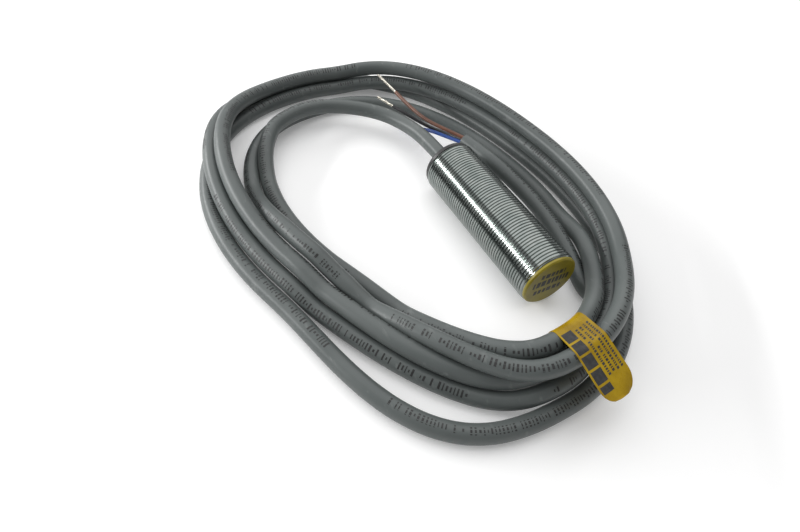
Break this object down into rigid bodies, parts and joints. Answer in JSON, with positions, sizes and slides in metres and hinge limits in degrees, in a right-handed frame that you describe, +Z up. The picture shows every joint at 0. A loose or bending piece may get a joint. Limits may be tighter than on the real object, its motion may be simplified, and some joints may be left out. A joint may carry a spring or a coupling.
{
  "type": "inductive proximity sensor",
  "caption": "Cylindrical threaded proximity sensor with a flush plastic active face, a coiled round cable, a wrap label and stripped leads.",
  "frame": {"origin": "on the surface the sensor lies on, under the middle of its housing", "axes": "+X along the housing's axis, out of the active face; +Z up"},
  "size_m": [0.1685, 0.1191, 0.018],
  "materials": {
    "plated_metal": "bright plated brass, fine rolled thread",
    "yellow_plastic": "satin moulded plastic",
    "black_plastic": "satin moulded plastic",
    "seal_rubber": "matte",
    "ferrite": "matte sintered",
    "natural_plastic": "satin moulded plastic",
    "copper": "enamelled wire",
    "board_green": "solder mask",
    "chip_black": "matte moulded",
    "ceramic": "matte",
    "led_amber": "clear tinted",
    "clear_plastic": "clear, slightly diffusing",
    "casting_resin": "cast, glossy",
    "cable_grey": "matte soft PVC with faint extrusion lines",
    "core_brown": "satin PVC",
    "core_blue": "satin PVC",
    "core_black": "satin PVC",
    "tinned_metal": "tinned",
    "label_yellow": "glossy laminated film with black blocks and bars"
  },
  "bodies": {
    "root": {"threaded_barrel": "plated_metal", "front_cap": "yellow_plastic", "cap_seal": "seal_rubber", "ferrite_core": "ferrite", "coil_bobbin": "natural_plastic", "coil_winding": "copper", "core_carrier": "natural_plastic", "coil_leads": "copper", "circuit_board": "board_green", "sensor_chip": "chip_black", "output_transistor": "chip_black", "capacitors": "ceramic", "resistors": "chip_black", "status_led": "led_amber", "light_guide": "clear_plastic", "potting_resin": "casting_resin", "rear_cap": "black_plastic", "cable_grommet": "seal_rubber", "crimp_ring": "tinned_metal", "cable_sheath_end": "cable_grey", "brown_conductor": "core_brown", "black_conductor": "core_black", "blue_conductor": "core_blue", "solder_joints": "tinned_metal", "cable_exit": "cable_grey", "cable_coil": "cable_grey", "cable_tail": "cable_grey", "brown_wire": "core_brown", "black_wire": "core_black", "blue_wire": "core_blue", "brown_wire_tip": "tinned_metal", "black_wire_tip": "tinned_metal", "blue_wire_tip": "tinned_metal", "coil_label": "label_yellow"}
  },
  "joints": []
}
